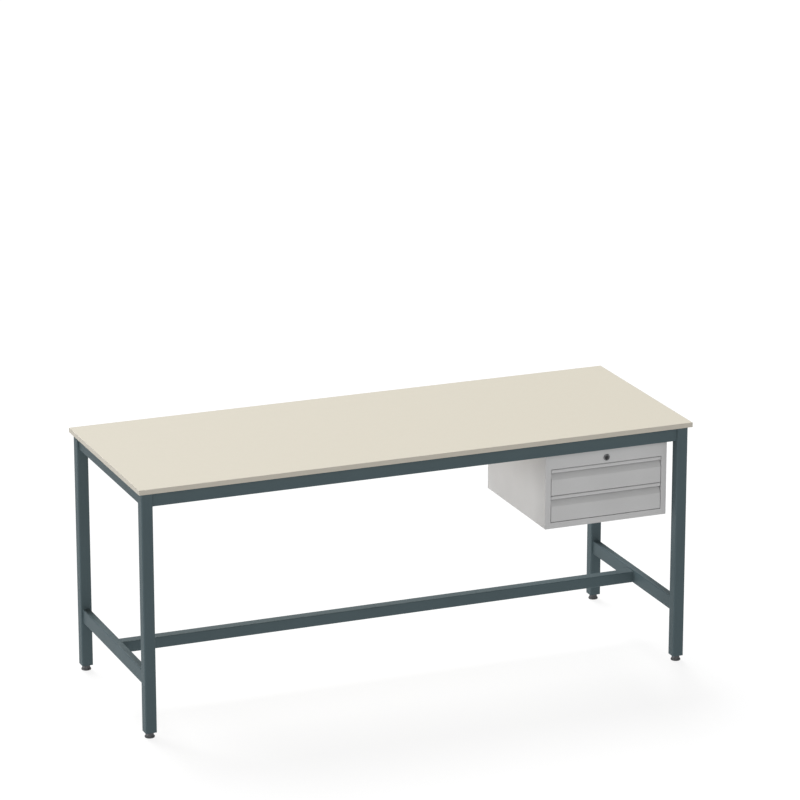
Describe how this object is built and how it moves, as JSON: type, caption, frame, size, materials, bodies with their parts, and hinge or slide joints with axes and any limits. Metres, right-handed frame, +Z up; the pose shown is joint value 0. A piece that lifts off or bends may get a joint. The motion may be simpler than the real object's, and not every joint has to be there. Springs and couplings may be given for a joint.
{
  "type": "workbench with drawers",
  "caption": "Free-standing steel-framed workbench with a flat laminated worktop, levelling feet and a hanging cabinet with sliding drawers and a cam lock.",
  "frame": {"origin": "on the floor, under the middle of the worktop", "axes": "+X along the bench to the drawer end, +Y from the front to the back, +Z up"},
  "size_m": [2, 0.75, 0.873],
  "materials": {
    "frame_paint": "satin powder coat",
    "cabinet_paint": "satin powder coat",
    "laminate": "fine matt laminate",
    "edging": "matt edge band",
    "board": "raw chipboard",
    "black_plastic": "moulded",
    "zinc_steel": "bright zinc plate",
    "lock_chrome": "polished"
  },
  "bodies": {
    "bench": {"worktop_board": "board", "worktop_laminate": "laminate", "front_edging": "edging", "back_edging": "edging", "left_edging": "edging", "right_edging": "edging", "front_left_leg": "frame_paint", "front_right_leg": "frame_paint", "back_left_leg": "frame_paint", "back_right_leg": "frame_paint", "front_top_rail": "frame_paint", "back_top_rail": "frame_paint", "left_top_rail": "frame_paint", "right_top_rail": "frame_paint", "left_stretcher": "frame_paint", "right_stretcher": "frame_paint", "centre_stretcher": "frame_paint", "front_left_leg_insert": "black_plastic", "front_right_leg_insert": "black_plastic", "back_left_leg_insert": "black_plastic", "back_right_leg_insert": "black_plastic", "cabinet_shell": "cabinet_paint", "cabinet_fascia": "cabinet_paint", "cabinet_back": "cabinet_paint", "cabinet_top": "cabinet_paint", "front_left_cabinet_screw": "zinc_steel", "front_right_cabinet_screw": "zinc_steel", "back_left_cabinet_screw": "zinc_steel", "back_right_cabinet_screw": "zinc_steel", "lower_left_fixed_runner": "zinc_steel", "lower_right_fixed_runner": "zinc_steel", "upper_left_fixed_runner": "zinc_steel", "upper_right_fixed_runner": "zinc_steel", "lock_housing": "lock_chrome", "lock_nut": "zinc_steel"},
    "upper_drawer": {"upper_drawer_front": "cabinet_paint", "upper_drawer_tray": "cabinet_paint", "upper_left_inner_runner": "zinc_steel", "upper_right_inner_runner": "zinc_steel"},
    "lower_drawer": {"lower_drawer_front": "cabinet_paint", "lower_drawer_tray": "cabinet_paint", "lower_left_inner_runner": "zinc_steel", "lower_right_inner_runner": "zinc_steel"},
    "upper_runners": {"upper_left_middle_runner": "zinc_steel", "upper_right_middle_runner": "zinc_steel"},
    "lower_runners": {"lower_left_middle_runner": "zinc_steel", "lower_right_middle_runner": "zinc_steel"},
    "lock": {"lock_plug": "black_plastic", "lock_cam": "zinc_steel"},
    "front_left_leveller": {"front_left_foot": "black_plastic", "front_left_foot_stud": "zinc_steel"},
    "front_right_leveller": {"front_right_foot": "black_plastic", "front_right_foot_stud": "zinc_steel"},
    "back_left_leveller": {"back_left_foot": "black_plastic", "back_left_foot_stud": "zinc_steel"},
    "back_right_leveller": {"back_right_foot": "black_plastic", "back_right_foot_stud": "zinc_steel"}
  },
  "joints": [
    {"name": "upper_drawer_slide", "type": "slide", "parent": "bench", "child": "upper_drawer", "axis": [0, -1, 0], "range_m": [0, 0.4]},
    {"name": "lower_drawer_slide", "type": "slide", "parent": "bench", "child": "lower_drawer", "axis": [0, -1, 0], "range_m": [0, 0.4]},
    {"name": "upper_runner_slide", "type": "slide", "parent": "bench", "child": "upper_runners", "axis": [0, -1, 0], "range_m": [0, 0.2]},
    {"name": "lower_runner_slide", "type": "slide", "parent": "bench", "child": "lower_runners", "axis": [0, -1, 0], "range_m": [0, 0.2]},
    {"name": "lock_turn", "type": "hinge", "parent": "bench", "child": "lock", "pos_m": [0.698, -0.32, 0.77], "axis": [0, 1, 0], "range_deg": [0, 90]},
    {"name": "front_left_levelling", "type": "slide", "parent": "bench", "child": "front_left_leveller", "axis": [0, 0, -1], "range_m": [0, 0.02]},
    {"name": "front_right_levelling", "type": "slide", "parent": "bench", "child": "front_right_leveller", "axis": [0, 0, -1], "range_m": [0, 0.02]},
    {"name": "back_left_levelling", "type": "slide", "parent": "bench", "child": "back_left_leveller", "axis": [0, 0, -1], "range_m": [0, 0.02]},
    {"name": "back_right_levelling", "type": "slide", "parent": "bench", "child": "back_right_leveller", "axis": [0, 0, -1], "range_m": [0, 0.02]}
  ],
  "couplings": [
    {"joint": "upper_runner_slide", "follows": "upper_drawer_slide", "ratio": 0.5},
    {"joint": "lower_runner_slide", "follows": "lower_drawer_slide", "ratio": 0.5}
  ]
}
